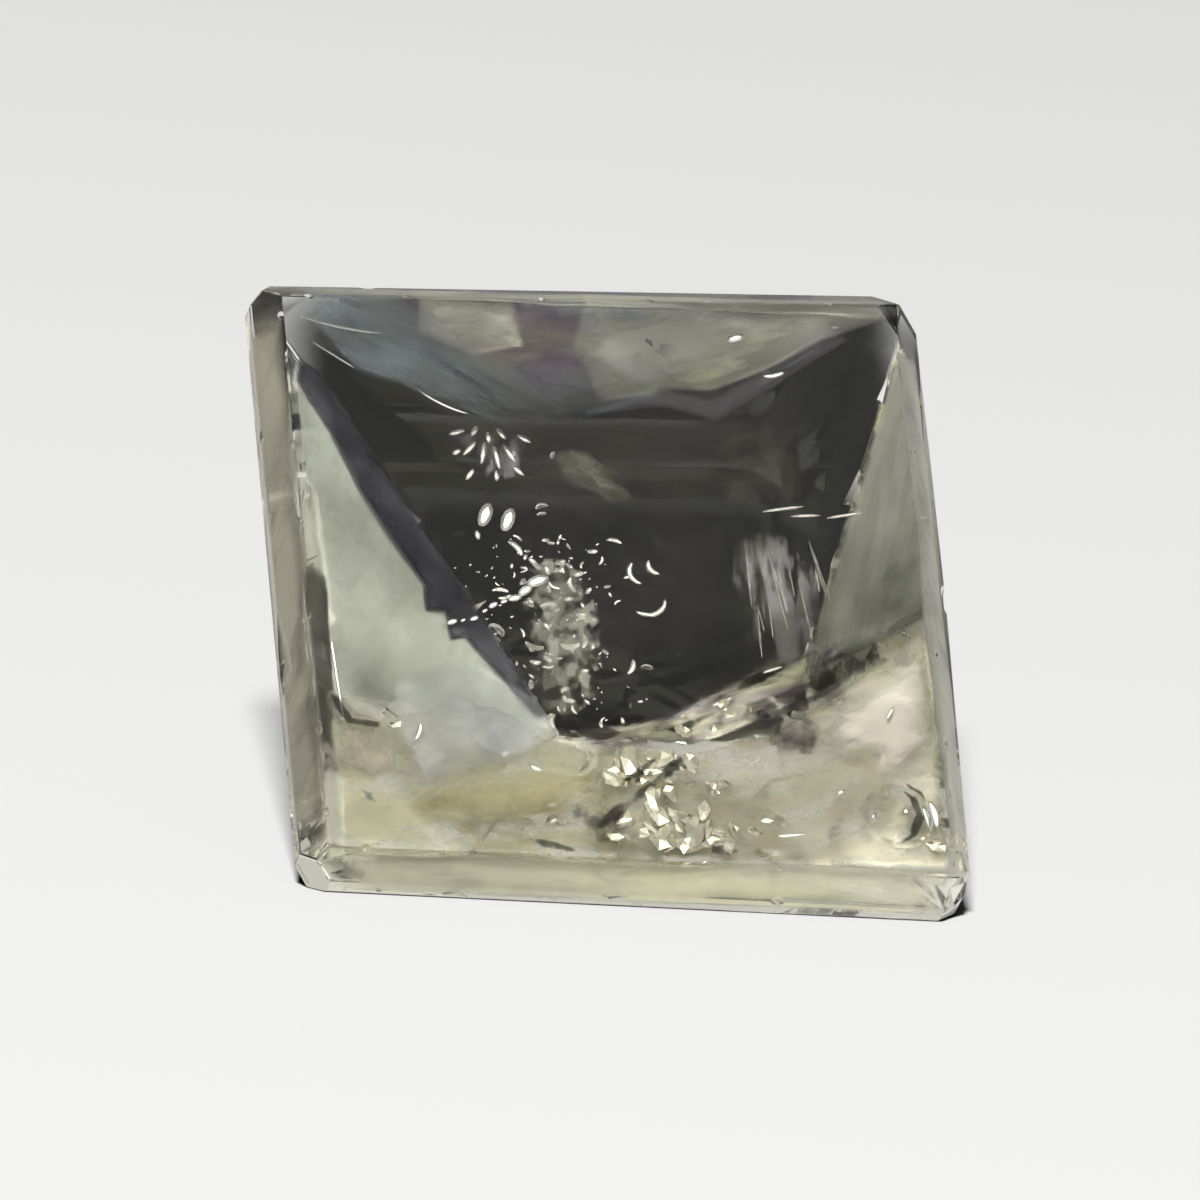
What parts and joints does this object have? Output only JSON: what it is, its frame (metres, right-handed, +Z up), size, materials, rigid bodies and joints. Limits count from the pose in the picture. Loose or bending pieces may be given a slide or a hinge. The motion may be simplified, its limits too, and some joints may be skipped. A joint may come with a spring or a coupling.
{
  "type": "sodalite stone",
  "caption": "Small clear square-cut gemstone with a flat table, thin girdle and deep pointed underside, lying on one lower facet.",
  "frame": {"origin": "on the surface that the stone lies on, under the middle of its box", "axes": "+Z up from the surface, -Y to the side that the table faces, +X to the right of someone who looks at the table from the front"},
  "size_m": [0.003, 0.0024, 0.0024],
  "materials": {
    "sodalite": "polished, clear with pale inclusions"
  },
  "bodies": {
    "root": {"sodalite_stone": "sodalite"}
  },
  "joints": []
}
